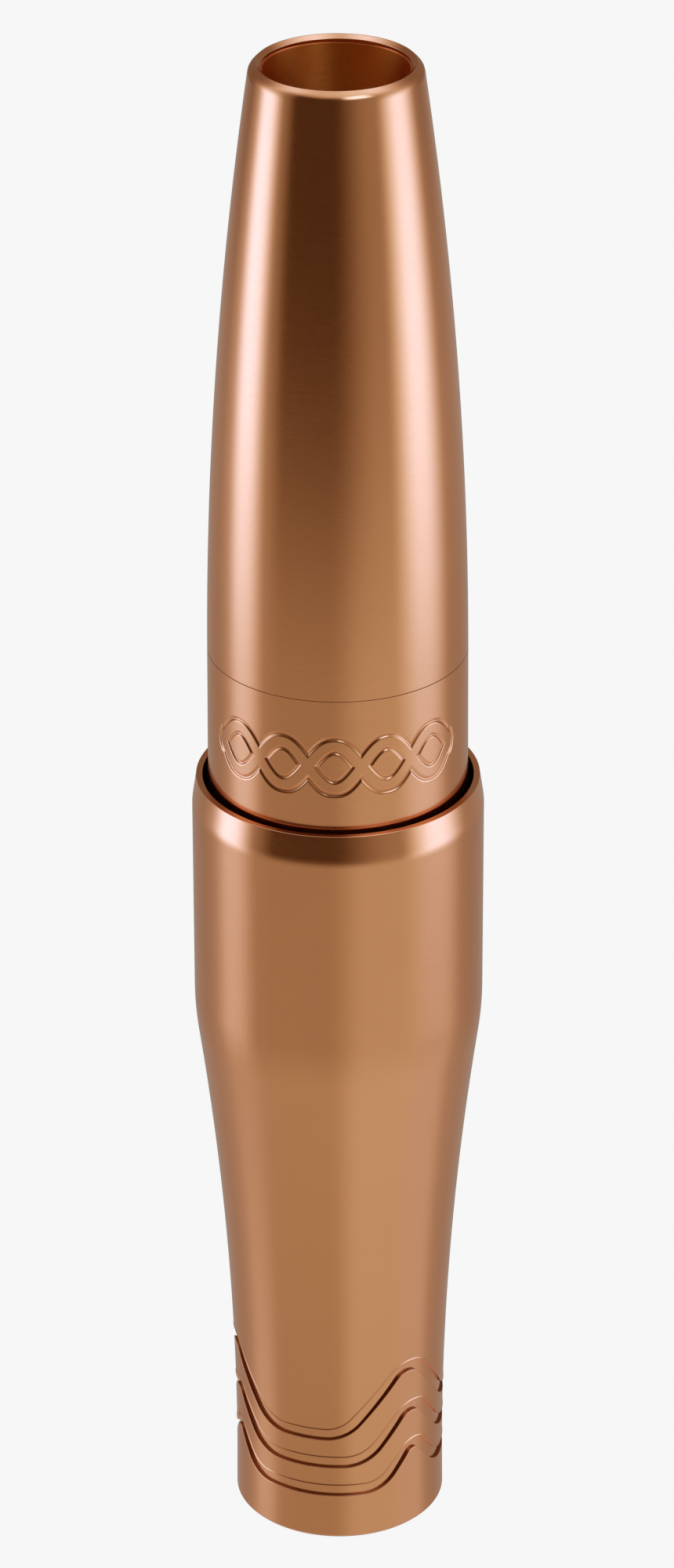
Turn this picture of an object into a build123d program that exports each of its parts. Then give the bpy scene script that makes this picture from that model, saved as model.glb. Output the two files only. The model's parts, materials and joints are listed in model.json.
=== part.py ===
from build123d import *
from math import acos, atan, cos, degrees, sin, sqrt
import os

# A rotary cosmetic pen, standing on its front face. The origin is the centre of that face and +Z runs
# along the pen towards its rear socket. All lengths are in millimetres.

# ---- Outside shape ----------------------------------------------------------------------------------
LENGTH = 120.2             # front face to the crest of the rear rim
COLLAR_R = 11.0            # widest radius, on the grip's collar
WAIST_R = 8.13             # narrowest radius, near the front face
WAIST_Z = 4.5
FACE_R = 7.93              # edge of the front face, inside its chamfer
FACE_CHAMFER = 0.24
FLANK_ARC = 270.0          # long concave arc of the finger grip
HIP_ARC = 26.0             # convex arc from the flank to the collar
BEVEL_Z = 61.4             # where the collar starts to lean in towards its rim
BEVEL_SOFT = 0.35          # length of the rounded corner there, to each side
RIM_Z = 63.56              # collar rim
RIM_R = 10.667
BAND_R = 9.78              # body radius inside the collar
BAND_TOP_R = 9.723         # body radius at the seam
BAND_TAPER_Z = 64.0
SEAM_Z = 74.19             # seam between front body and rear housing
OGIVE_ARC = 335.0          # long convex arc of the rear housing
OGIVE_R = 9.73             # radius at which that arc is parallel to the axis
OGIVE_Z = 72.0
MOUTH_R = 5.32             # bore round the rear socket
MOUTH_STEP_R = 5.42        # slightly wider lead-in at the mouth
MOUTH_STEP_Z = 119.68
SHOULDER_Z = 119.745       # where the long arc turns into the rim's outer bevel
SHOULDER_FILLET = 0.4
CREST_R = (5.77, 5.83)     # narrow flat on top of the rim
LIP_Z = 119.93             # foot of the rim's inner bevel

# ---- Fits -------------------------------------------------------------------------------------------
RUN = 0.05                 # radial clearance of a running fit
CUT = 1.0                  # how far a cutter runs past the face that it opens
RECESS = 0.15              # how far a pressed pin's end lies below the surface

# ---- Grip, depth nut and cartridge holder -----------------------------------------------------------
CARTRIDGE_R = 4.1          # bore for the needle cartridge
CARTRIDGE_DEPTH = 20.9
HOLDER_FACE_Z = 0.6
HOLDER_R = 5.7
HOLDER_THREAD_R = 6.0
HOLDER_THREAD_Z = (21.0, 33.5)
HOLDER_TAIL_R = 5.15
HOLDER_TAIL_Z = 43.2
HOLDER_BAR_R = 2.4         # clearance hole for the drive bar
HOLDER_TRAVEL = 4.0
HOLDER_SEAL_Z = (16.0, 17.4)
HOLDER_SEAL_GROOVE_R = 4.9
HOLDER_SEAL_WIRE_R = 0.38
SEAL_PLAY = 0.02           # gap between a seal ring and the floor of its groove
NUT_Z = (24.0, 34.0)
NUT_R = 7.0
NUT_SEAT_TOP = 36.0        # the nut's seat runs past it to leave a gap below the nose
GRIP_GUIDE_Z = 13.0        # top of the front guide bore
GRIP_FLOOR_Z = 49.4        # floor of the collar's cup
COLLAR_BORE_R = 10.2

# ---- Front body's nose ------------------------------------------------------------------------------
NOSE_R = 7.0
NOSE_Z = 39.0
NOSE_CHAMFER = 0.3
NOSE_BORE_R = HOLDER_TAIL_R + RUN
BODY_STEP_Z = 49.7
WEB_Z = (47.5, 51.0)       # wall that carries the guide bush
SLIDER_BORE_R = 7.9
PLATE_SEAT_Z = 68.0
SPIGOT_R = 8.9
SNAP_Z, SNAP_T = 43.1, 1.0
SNAP_R = (6.3, 7.4)
SNAP_GAP = 3.0
SNAP_GROOVE_R = (6.2, 7.5) # floor of the groove in the nose, and of the groove in the grip
SNAP_NOSE_Z = (43.0, 44.2)
SNAP_GRIP_Z = (42.9, 44.4)
SEAL_Z = 46.3
SEAL_WIRE_R = 0.6
SEAL_GROOVE_R = 5.8
SEAL_GROOVE_Z = (45.6, 47.0)
HOLDER_KEY_Z, HOLDER_KEY_R = 40.6, 0.75
HOLDER_KEY_TIP = 3.6       # distance of the key's tip from the axis
KEY_PLAY = 0.1             # gap on each side of a key in its slot
KEY_END_PLAY = (0.15, 0.5) # gap past the end of the travel, in the holder's slot and in the slider's

# ---- Cam drive --------------------------------------------------------------------------------------
STROKE = 2.5               # needle stroke over half a turn
CAM_R = 5.0
CAM_Z = (57.0, 66.0)
CAM_FLOOR_R = 3.6
FOLLOWER_R = 0.8
FOLLOWER_Z = 61.5
FOLLOWER_TIP = 3.9         # distance of the follower's tip from the axis
GROOVE_SLACK = 0.55        # covers the difference between a tilted groove and a constant pitch
SLIDER_R = (5.35, 7.55)
SLIDER_Z = (53.3, 66.3)
SLIDER_WEB = 2.0
SLIDER_KEY_Z, SLIDER_KEY_R = 62.0, 0.8
SLIDER_KEY_TIP = 6.2
BAR_R = 1.5
BAR_TIP_Z = 22.2
BAR_CHAMFER = 0.4
BUSH_R = 3.0
BUSH_FLANGE = (4.5, 0.8)   # radius, thickness
SET_SCREW_R, SET_SCREW_Z = 0.75, 58.6
SET_SCREW_SINK = 0.4
SET_SCREW_HEX, SET_SCREW_HEX_DEPTH = 0.42, 0.9

# ---- Motor, 16 mm across ----------------------------------------------------------------------------
MOTOR_R = 8.0
MOTOR_Z = (70.0, 89.0)
CAN_WALL = 0.6
FRONT_WALL = 1.0
CORE_R = (2.0, 2.6)        # tube in the can that carries magnet and bearings
CORE_TOP_Z = 84.0
SHAFT_R = 0.75
SHAFT_Z = (58.0, 89.9)
BEARING_GAP = 0.03
BEARING_L = 3.3
BOSS_R = 3.0
BOSS_Z = 68.2
MAGNET_R, MAGNET_Z = 5.6, (71.4, 83.0)
COIL_R = (6.0, 6.7)
COIL_Z = (72.2, 86.0)
HUB_T = 1.0
COMMUTATOR_R, COMMUTATOR_TOP = 1.5, 89.2
COMMUTATOR_BARS, BAR_GAP = 5, (0.5, 0.2)
BRUSH_T, BRUSH_W = 0.25, 1.2
BRUSH_GAP, BRUSH_DROP = 0.05, 1.4
END_CAP_T, END_CAP_FILLET = 2.5, 0.5
END_CAP_WELL = (1.9, 1.2)  # radius and depth of the room for the commutator's end
TERMINAL_SIZE = (1.0, 2.0)
TERMINAL_X, TERMINAL_TOP = 4.5, 94.0
SCREW_X, SCREW_R, SCREW_HEAD_R = 5.5, 0.8, 1.5
SCREW_HEX, SCREW_HEX_DEPTH = 0.6, 0.6
HEAD_T = 1.0

# ---- Rear socket, a phono jack ----------------------------------------------------------------------
JACK_R = 4.15              # outside of the socket's shell
JACK_BORE_R = 3.65
JACK_Z = (106.0, 114.2)
JACK_FLANGE_R = 4.9
JACK_CHAMFER = 0.2
INSULATOR_TOP_Z = 113.5
CARRIER_R = 6.4
CARRIER_Z = (101.5, 105.0)
NECK_R = 3.5
NECK_BORE_R = 2.6
NECK_Z = 99.4
CONTACT_R = (1.6, 2.1)     # bore and outside of the centre contact
CONTACT_Z = (105.0, 113.2)
CONTACT_FLOOR_Z = 104.0    # underside of the contact's closed end
CONTACT_TAIL_Z = 97.5
CONTACT_TAIL_R = 0.9
NUT_FLATS = 9.0
NUT_T = 1.5
TAG_T, TAG_WIDTH = 0.4, 2.0
TAG_RING_R = 5.1
TAG_TAB_X, TAG_TAB_T = 5.8, 0.6
TAG_TAB_Z = 98.6           # free end of the tab, where its lead ends
LEAD_R = 0.5
LEAD_BEND = 0.8
LEAD_RISE = (1.8, 3.0)     # heights of the leads' turns above the terminals
HOUSING_BORE_R = 8.15
HOUSING_CONE_Z = 96.0

os.makedirs("parts", exist_ok=True)


def ogive(z):
    """Radius of the rear housing's outside at height z."""
    return OGIVE_R - OGIVE_ARC + sqrt(OGIVE_ARC**2 - (z - OGIVE_Z) ** 2)


def turn(points, mode=Mode.ADD):
    """Revolve a closed outline of (radius, height) points about the pen's axis."""
    with BuildSketch(Plane.XZ) as section:
        with BuildLine():
            Polyline(*points, close=True)
        make_face()
    revolve(section.sketch, axis=Axis.Z, mode=mode)


def sleeve(inner, outer, low, high, mode=Mode.ADD):
    """A tube about the pen's axis, or a plain disc when inner is 0."""
    with BuildSketch(Plane.XY.offset(low)) as ring:
        Circle(outer)
        if inner:
            Circle(inner, mode=Mode.SUBTRACT)
    extrude(ring.sketch, amount=high - low, mode=mode)


def torus(ring_radius, wire_radius, z):
    """A seal ring about the pen's axis."""
    with BuildSketch(Plane.XZ) as wire:
        with Locations((ring_radius, z)):
            Circle(wire_radius)
    revolve(wire.sketch, axis=Axis.Z)


def screw_pair(radius, low, high, mode=Mode.ADD):
    """Two equal cylinders on the motor screws' axes."""
    with BuildSketch(Plane.XY.offset(low)) as pair:
        with Locations((-SCREW_X, 0), (SCREW_X, 0)):
            Circle(radius)
    extrude(pair.sketch, amount=high - low, mode=mode)


def radial_pin(radius, z, near, far, side, mode=Mode.ADD):
    """A round pin lying along the side vector (+X, -X, -Y), from near to far from the axis."""
    plane = Plane(origin=side * near + Vector(0, 0, z), z_dir=side)
    with BuildSketch(plane) as end:
        Circle(radius)
    extrude(end.sketch, amount=far - near, mode=mode)


def save(part, label):
    """Name a finished piece and write its STEP file."""
    part.label = label
    export_step(part, f"parts/{label}.step")


EAST, WEST, SOUTH = Vector(1, 0, 0), Vector(-1, 0, 0), Vector(0, -1, 0)

# ---- Grip -------------------------------------------------------------------------------------------
# The flank arc leaves the waist parallel to the axis and meets the hip arc with one tangent.
flank_angle = acos(1 - (COLLAR_R - WAIST_R) / (FLANK_ARC + HIP_ARC))
flank_end = (WAIST_R + FLANK_ARC * (1 - cos(flank_angle)), WAIST_Z + FLANK_ARC * sin(flank_angle))
flank_mid = (
    WAIST_R + FLANK_ARC * (1 - cos(flank_angle / 2)),
    WAIST_Z + FLANK_ARC * sin(flank_angle / 2),
)
hip_end = (COLLAR_R, WAIST_Z + (FLANK_ARC + HIP_ARC) * sin(flank_angle))
bevel_angle = atan((COLLAR_R - RIM_R) / (RIM_Z - BEVEL_Z))
bevel_from = (COLLAR_R, BEVEL_Z - BEVEL_SOFT)
bevel_to = (COLLAR_R - BEVEL_SOFT * sin(bevel_angle), BEVEL_Z + BEVEL_SOFT * cos(bevel_angle))
with BuildPart() as grip:
    with BuildSketch(Plane.XZ):
        with BuildLine():
            Polyline((0, 0), (FACE_R, 0), (FACE_R + FACE_CHAMFER, FACE_CHAMFER), (WAIST_R, WAIST_Z))
            ThreePointArc((WAIST_R, WAIST_Z), flank_mid, flank_end)
            TangentArc(flank_end, hip_end, tangent=(sin(flank_angle), cos(flank_angle)))
            Line(hip_end, bevel_from)
            TangentArc(bevel_from, bevel_to, tangent=(0, 1))
            Polyline(bevel_to, (RIM_R, RIM_Z), (0, RIM_Z), (0, 0))
        make_face()
    revolve(axis=Axis.Z)
    sleeve(0, HOLDER_R + RUN, 0, GRIP_GUIDE_Z, mode=Mode.SUBTRACT)
    sleeve(0, HOLDER_THREAD_R + 2 * RUN, GRIP_GUIDE_Z, NUT_Z[0], mode=Mode.SUBTRACT)
    sleeve(0, NUT_R, NUT_Z[0], NUT_SEAT_TOP, mode=Mode.SUBTRACT)
    sleeve(0, NOSE_R + RUN, NUT_SEAT_TOP, GRIP_FLOOR_Z, mode=Mode.SUBTRACT)
    sleeve(0, SNAP_GROOVE_R[1], *SNAP_GRIP_Z, mode=Mode.SUBTRACT)
    sleeve(0, COLLAR_BORE_R, GRIP_FLOOR_Z, RIM_Z, mode=Mode.SUBTRACT)
save(grip.part, "grip")

with BuildPart() as depth_nut:
    sleeve(HOLDER_THREAD_R + RUN, NUT_R, *NUT_Z)
save(depth_nut.part, "depth_nut")

# ---- Cartridge holder: a keyed sleeve that the nut moves along the pen ------------------------------
with BuildPart() as cartridge_holder:
    sleeve(0, HOLDER_R, HOLDER_FACE_Z, HOLDER_THREAD_Z[0])
    sleeve(0, HOLDER_THREAD_R, *HOLDER_THREAD_Z)
    sleeve(0, HOLDER_TAIL_R, HOLDER_THREAD_Z[1], HOLDER_TAIL_Z)
    sleeve(0, CARTRIDGE_R, HOLDER_FACE_Z, HOLDER_FACE_Z + CARTRIDGE_DEPTH, mode=Mode.SUBTRACT)
    sleeve(0, HOLDER_BAR_R, HOLDER_FACE_Z + CARTRIDGE_DEPTH, HOLDER_TAIL_Z, mode=Mode.SUBTRACT)
    sleeve(0, HOLDER_SEAL_GROOVE_R, *HOLDER_SEAL_Z, mode=Mode.SUBTRACT)
    slot_low = HOLDER_KEY_Z - HOLDER_TRAVEL - HOLDER_KEY_R - KEY_END_PLAY[0]
    with BuildSketch(Plane.XY.offset(slot_low)):
        with Locations((0, -HOLDER_TAIL_R)):
            Rectangle(2 * (HOLDER_KEY_R + KEY_PLAY), 2 * (HOLDER_TAIL_R - HOLDER_BAR_R) + CUT)
    extrude(amount=HOLDER_TAIL_Z - slot_low, mode=Mode.SUBTRACT)
save(cartridge_holder.part, "cartridge_holder")

with BuildPart() as holder_seal:
    torus(HOLDER_SEAL_GROOVE_R - HOLDER_SEAL_WIRE_R - SEAL_PLAY, HOLDER_SEAL_WIRE_R, sum(HOLDER_SEAL_Z) / 2)
save(holder_seal.part, "holder_seal")

# ---- Front body: nose, web, slider bore and the band that shows above the collar --------------------
with BuildPart() as front_body:
    turn([
        (0, NOSE_Z), (NOSE_R - NOSE_CHAMFER, NOSE_Z), (NOSE_R, NOSE_Z + NOSE_CHAMFER),
        (NOSE_R, BODY_STEP_Z), (BAND_R, BODY_STEP_Z), (BAND_R, BAND_TAPER_Z),
        (BAND_TOP_R, SEAM_Z), (0, SEAM_Z),
    ])
    sleeve(0, NOSE_BORE_R, NOSE_Z, WEB_Z[0], mode=Mode.SUBTRACT)
    sleeve(0, BUSH_R, *WEB_Z, mode=Mode.SUBTRACT)
    sleeve(0, SLIDER_BORE_R, WEB_Z[1], PLATE_SEAT_Z, mode=Mode.SUBTRACT)
    sleeve(0, SPIGOT_R, PLATE_SEAT_Z, SEAM_Z, mode=Mode.SUBTRACT)
    sleeve(SNAP_GROOVE_R[0], NOSE_R + CUT, *SNAP_NOSE_Z, mode=Mode.SUBTRACT)
    sleeve(SEAL_GROOVE_R, NOSE_R + CUT, *SEAL_GROOVE_Z, mode=Mode.SUBTRACT)
    radial_pin(HOLDER_KEY_R, HOLDER_KEY_Z, NOSE_BORE_R - CUT, NOSE_R + CUT, SOUTH, mode=Mode.SUBTRACT)
    radial_pin(SLIDER_KEY_R, SLIDER_KEY_Z, SLIDER_BORE_R - CUT, BAND_R + CUT, WEST, mode=Mode.SUBTRACT)
save(front_body.part, "front_body")

with BuildPart() as grip_seal:
    torus(NOSE_R + SEAL_PLAY - SEAL_WIRE_R, SEAL_WIRE_R, SEAL_Z)
save(grip_seal.part, "grip_seal")

with BuildPart() as snap_ring:
    sleeve(*SNAP_R, SNAP_Z, SNAP_Z + SNAP_T)
    with BuildSketch(Plane.XY.offset(SNAP_Z)):
        with Locations((0, NOSE_R)):
            Rectangle(SNAP_GAP, 2 * (SNAP_R[1] - SNAP_R[0]) + CUT)
    extrude(amount=SNAP_T, mode=Mode.SUBTRACT)
save(snap_ring.part, "snap_ring")

with BuildPart() as holder_key_pin:
    radial_pin(HOLDER_KEY_R, HOLDER_KEY_Z, HOLDER_KEY_TIP, NOSE_R - RECESS, SOUTH)
save(holder_key_pin.part, "holder_key_pin")

with BuildPart() as slider_key_pin:
    radial_pin(SLIDER_KEY_R, SLIDER_KEY_Z, SLIDER_KEY_TIP, BAND_R - RECESS, WEST)
save(slider_key_pin.part, "slider_key_pin")

with BuildPart() as guide_bush:
    sleeve(BAR_R + RUN, BUSH_R, *WEB_Z)
    sleeve(BAR_R + RUN, BUSH_FLANGE[0], WEB_Z[1], WEB_Z[1] + BUSH_FLANGE[1])
save(guide_bush.part, "guide_bush")

# ---- Cam, slider and drive bar ----------------------------------------------------------------------
# The groove lies in a plane tilted about X, so that half a turn lifts the follower by the stroke.
groove_mean_r = (FOLLOWER_TIP + CAM_R) / 2
groove_tilt = degrees(atan(STROKE / 2 / groove_mean_r))
groove_plane = Plane(origin=(0, 0, FOLLOWER_Z)).rotated((-groove_tilt, 0, 0))
with BuildPart() as drive_cam:
    sleeve(SHAFT_R, CAM_R, *CAM_Z)
    with BuildSketch(groove_plane) as groove:
        Circle(CAM_R + 2 * CUT)
        Circle(CAM_FLOOR_R, mode=Mode.SUBTRACT)
    extrude(groove.sketch, amount=FOLLOWER_R + GROOVE_SLACK, both=True, mode=Mode.SUBTRACT)
    radial_pin(SET_SCREW_R, SET_SCREW_Z, SHAFT_R - 2 * RUN, CAM_R + CUT, SOUTH, mode=Mode.SUBTRACT)
save(drive_cam.part, "drive_cam")

with BuildPart() as cam_set_screw:
    radial_pin(SET_SCREW_R, SET_SCREW_Z, SHAFT_R, CAM_R - SET_SCREW_SINK, SOUTH)
    with BuildSketch(Plane(origin=(0, SET_SCREW_SINK - CAM_R, SET_SCREW_Z), z_dir=(0, 1, 0))):
        RegularPolygon(SET_SCREW_HEX, 6)
    extrude(amount=SET_SCREW_HEX_DEPTH, mode=Mode.SUBTRACT)
save(cam_set_screw.part, "cam_set_screw")

with BuildPart() as cam_slider:
    sleeve(BAR_R, SLIDER_R[1], SLIDER_Z[0], SLIDER_Z[0] + SLIDER_WEB)
    sleeve(*SLIDER_R, SLIDER_Z[0] + SLIDER_WEB, SLIDER_Z[1])
    radial_pin(FOLLOWER_R, FOLLOWER_Z, SLIDER_R[0] - CUT, SLIDER_R[1] + CUT, EAST, mode=Mode.SUBTRACT)
    slot_low = SLIDER_KEY_Z - STROKE / 2 - SLIDER_KEY_R - KEY_END_PLAY[1]
    with BuildSketch(Plane.XY.offset(slot_low)):
        with Locations((-SLIDER_R[1], 0)):
            Rectangle(2 * (SLIDER_R[1] - SLIDER_R[0]) + CUT, 2 * (SLIDER_KEY_R + KEY_PLAY))
    extrude(amount=SLIDER_Z[1] - slot_low, mode=Mode.SUBTRACT)
save(cam_slider.part, "cam_slider")

with BuildPart() as follower_pin:
    radial_pin(FOLLOWER_R, FOLLOWER_Z, FOLLOWER_TIP, SLIDER_R[1] - RECESS, EAST)
save(follower_pin.part, "follower_pin")

with BuildPart() as drive_bar:
    sleeve(0, BAR_R, BAR_TIP_Z, SLIDER_Z[0] + SLIDER_WEB)
    chamfer(drive_bar.edges().group_by(Axis.Z)[0], BAR_CHAMFER)
save(drive_bar.part, "drive_bar")

# ---- Motor ------------------------------------------------------------------------------------------
with BuildPart() as motor_plate:
    sleeve(BOSS_R + RUN, SPIGOT_R, PLATE_SEAT_Z, MOTOR_Z[0])
    screw_pair(SCREW_R, PLATE_SEAT_Z, MOTOR_Z[0], mode=Mode.SUBTRACT)
    screw_pair(SCREW_HEAD_R + 2 * RUN, PLATE_SEAT_Z, PLATE_SEAT_Z + HEAD_T, mode=Mode.SUBTRACT)
save(motor_plate.part, "motor_plate")

with BuildPart() as motor_screws:
    with BuildSketch(Plane.XY.offset(PLATE_SEAT_Z)):
        with Locations((-SCREW_X, 0), (SCREW_X, 0)):
            Circle(SCREW_HEAD_R)
            RegularPolygon(SCREW_HEX, 6, mode=Mode.SUBTRACT)
    extrude(amount=HEAD_T)
    screw_pair(SCREW_R, PLATE_SEAT_Z + SCREW_HEX_DEPTH, MOTOR_Z[0] + FRONT_WALL)
save(motor_screws.part, "motor_screws")

with BuildPart() as motor_can:
    sleeve(0, MOTOR_R, *MOTOR_Z)
    sleeve(0, BOSS_R, BOSS_Z, MOTOR_Z[0])
    sleeve(CORE_R[1], MOTOR_R - CAN_WALL, MOTOR_Z[0] + FRONT_WALL, CORE_TOP_Z, mode=Mode.SUBTRACT)
    sleeve(0, MOTOR_R - CAN_WALL, CORE_TOP_Z, MOTOR_Z[1], mode=Mode.SUBTRACT)
    sleeve(0, CORE_R[0], BOSS_Z, CORE_TOP_Z, mode=Mode.SUBTRACT)
    screw_pair(SCREW_R, MOTOR_Z[0], MOTOR_Z[0] + FRONT_WALL, mode=Mode.SUBTRACT)
save(motor_can.part, "motor_can")

with BuildPart() as motor_magnet:
    sleeve(CORE_R[1], MAGNET_R, *MAGNET_Z)
save(motor_magnet.part, "motor_magnet")

with BuildPart() as motor_front_bearing:
    sleeve(SHAFT_R + BEARING_GAP, CORE_R[0], BOSS_Z, BOSS_Z + BEARING_L)
save(motor_front_bearing.part, "motor_front_bearing")

with BuildPart() as motor_rear_bearing:
    sleeve(SHAFT_R + BEARING_GAP, CORE_R[0], CORE_TOP_Z - BEARING_L, CORE_TOP_Z)
save(motor_rear_bearing.part, "motor_rear_bearing")

with BuildPart() as rotor_shaft:
    sleeve(0, SHAFT_R, *SHAFT_Z)
save(rotor_shaft.part, "rotor_shaft")

with BuildPart() as rotor_coil:
    sleeve(*COIL_R, *COIL_Z)
save(rotor_coil.part, "rotor_coil")

with BuildPart() as rotor_hub:
    sleeve(SHAFT_R, COIL_R[1], COIL_Z[1], COIL_Z[1] + HUB_T)
save(rotor_hub.part, "rotor_hub")

with BuildPart() as commutator:
    sleeve(SHAFT_R, COMMUTATOR_R, COIL_Z[1] + HUB_T, COMMUTATOR_TOP)
    with BuildSketch(Plane.XY.offset(COIL_Z[1] + HUB_T)):
        with PolarLocations(COMMUTATOR_R, COMMUTATOR_BARS):
            Rectangle(*BAR_GAP)
    extrude(amount=COMMUTATOR_TOP - COIL_Z[1] - HUB_T, mode=Mode.SUBTRACT)
save(commutator.part, "commutator")

with BuildPart() as motor_end_cap:
    sleeve(0, MOTOR_R, MOTOR_Z[1], MOTOR_Z[1] + END_CAP_T)
    sleeve(0, END_CAP_WELL[0], MOTOR_Z[1], MOTOR_Z[1] + END_CAP_WELL[1], mode=Mode.SUBTRACT)
    fillet(motor_end_cap.edges().group_by(Axis.Z)[-1], END_CAP_FILLET)
save(motor_end_cap.part, "motor_end_cap")

# Each brush is a leaf that hangs from the end cap and lies beside the commutator.
brush_tip = COMMUTATOR_R + BRUSH_GAP
brush_low = MOTOR_Z[1] - BRUSH_DROP
with BuildPart() as motor_brushes:
    with BuildSketch(Plane.XZ.offset(-BRUSH_W / 2)):
        with BuildLine():
            Polyline(
                (brush_tip, brush_low),
                (TERMINAL_X, brush_low),
                (TERMINAL_X, MOTOR_Z[1]),
                (TERMINAL_X - BRUSH_T, MOTOR_Z[1]),
                (TERMINAL_X - BRUSH_T, brush_low + BRUSH_T),
                (brush_tip, brush_low + BRUSH_T),
                close=True,
            )
        make_face()
        mirror(about=Plane.YZ)
    extrude(amount=BRUSH_W)
save(motor_brushes.part, "motor_brushes")

cap_top = MOTOR_Z[1] + END_CAP_T
with BuildPart() as motor_terminals:
    with BuildSketch(Plane.XY.offset(cap_top)):
        with Locations((-TERMINAL_X, 0), (TERMINAL_X, 0)):
            Rectangle(*TERMINAL_SIZE)
    extrude(amount=TERMINAL_TOP - cap_top)
save(motor_terminals.part, "motor_terminals")

# ---- Rear housing -----------------------------------------------------------------------------------
ogive_mid_z = (SEAM_Z + SHOULDER_Z) / 2
with BuildPart() as rear_housing:
    with BuildSketch(Plane.XZ):
        with BuildLine():
            Polyline((0, MOTOR_Z[0]), (SPIGOT_R, MOTOR_Z[0]), (SPIGOT_R, SEAM_Z), (ogive(SEAM_Z), SEAM_Z))
            ThreePointArc(
                (ogive(SEAM_Z), SEAM_Z),
                (ogive(ogive_mid_z), ogive_mid_z),
                (ogive(SHOULDER_Z), SHOULDER_Z),
            )
            Polyline((ogive(SHOULDER_Z), SHOULDER_Z), (CREST_R[1], LENGTH), (0, LENGTH), (0, MOTOR_Z[0]))
        make_face()
    revolve(axis=Axis.Z)
    circles = rear_housing.edges().filter_by(GeomType.CIRCLE)
    fillet(circles.filter_by_position(Axis.Z, SHOULDER_Z, SHOULDER_Z), SHOULDER_FILLET)
    turn([
        (0, MOTOR_Z[0]), (HOUSING_BORE_R, MOTOR_Z[0]), (HOUSING_BORE_R, HOUSING_CONE_Z),
        (CARRIER_R, CARRIER_Z[0]), (CARRIER_R, CARRIER_Z[1]), (MOUTH_R, CARRIER_Z[1]),
        (MOUTH_R, MOUTH_STEP_Z), (MOUTH_STEP_R, MOUTH_STEP_Z), (MOUTH_STEP_R, LIP_Z),
        (CREST_R[0], LENGTH), (0, LENGTH),
    ], mode=Mode.SUBTRACT)
save(rear_housing.part, "rear_housing")

# ---- Rear socket ------------------------------------------------------------------------------------
with BuildPart() as jack_carrier:
    sleeve(NECK_R, CARRIER_R, *CARRIER_Z)
save(jack_carrier.part, "jack_carrier")

with BuildPart() as jack_shell:
    sleeve(NECK_BORE_R, NECK_R, NECK_Z, CARRIER_Z[1])
    sleeve(NECK_BORE_R, JACK_FLANGE_R, CARRIER_Z[1], JACK_Z[0])
    sleeve(JACK_BORE_R, JACK_R, *JACK_Z)
    chamfer(jack_shell.edges().group_by(Axis.Z)[-1], JACK_CHAMFER)
save(jack_shell.part, "jack_shell")

with BuildPart() as jack_insulator:
    sleeve(CONTACT_R[1], NECK_BORE_R, NECK_Z, JACK_Z[0])
    sleeve(CONTACT_R[1], JACK_BORE_R, JACK_Z[0], INSULATOR_TOP_Z)
    sleeve(CONTACT_TAIL_R, CONTACT_R[1], NECK_Z, CONTACT_FLOOR_Z)
save(jack_insulator.part, "jack_insulator")

with BuildPart() as jack_contact:
    sleeve(*CONTACT_R, *CONTACT_Z)
    sleeve(0, CONTACT_R[1], CONTACT_FLOOR_Z, CONTACT_Z[0])
    sleeve(0, CONTACT_TAIL_R, CONTACT_TAIL_Z, CONTACT_FLOOR_Z)
save(jack_contact.part, "jack_contact")

with BuildPart() as jack_ground_tag:
    sleeve(NECK_R, TAG_RING_R, CARRIER_Z[0] - TAG_T, CARRIER_Z[0])
    with BuildSketch(Plane.XY.offset(CARRIER_Z[0] - TAG_T)):
        with Locations((-(NECK_R + TAG_TAB_X) / 2, 0)):
            Rectangle(TAG_TAB_X - NECK_R + TAG_TAB_T, TAG_WIDTH)
        Circle(NECK_R, mode=Mode.SUBTRACT)
    extrude(amount=TAG_T)
    with BuildSketch(Plane.XY.offset(TAG_TAB_Z)):
        with Locations((-TAG_TAB_X, 0)):
            Rectangle(TAG_TAB_T, TAG_WIDTH)
    extrude(amount=CARRIER_Z[0] - TAG_TAB_Z)
save(jack_ground_tag.part, "jack_ground_tag")

with BuildPart() as jack_nut:
    with BuildSketch(Plane.XY.offset(CARRIER_Z[0] - TAG_T - NUT_T)):
        RegularPolygon(NUT_FLATS / 2, 6, major_radius=False, rotation=30)
        Circle(NECK_R, mode=Mode.SUBTRACT)
    extrude(amount=NUT_T)
save(jack_nut.part, "jack_nut")

# ---- Leads between motor and socket: straight runs joined by tangent arcs ---------------------------
def lead(route):
    """Sweep the lead's round section along its filleted route."""
    with BuildLine() as path:
        FilletPolyline(*route, radius=LEAD_BEND)
    with BuildSketch(Plane(origin=route[0], z_dir=(0, 0, 1))) as section:
        Circle(LEAD_R)
    sweep(section.sketch, path=path.line)


lead_turn_z = TERMINAL_TOP + LEAD_RISE[0]
with BuildPart() as lead_live:
    lead([
        (TERMINAL_X, 0, TERMINAL_TOP), (TERMINAL_X, 0, lead_turn_z),
        (0, 0, lead_turn_z), (0, 0, CONTACT_TAIL_Z),
    ])
save(lead_live.part, "lead_live")

with BuildPart() as lead_ground:
    lead([
        (-TERMINAL_X, 0, TERMINAL_TOP), (-TERMINAL_X, 0, lead_turn_z),
        (-TAG_TAB_X, 0, TERMINAL_TOP + LEAD_RISE[1]), (-TAG_TAB_X, 0, TAG_TAB_Z),
    ])
save(lead_ground.part, "lead_ground")
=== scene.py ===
import bpy
import json
import math
import numpy as np
from mathutils import Matrix, Vector


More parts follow.
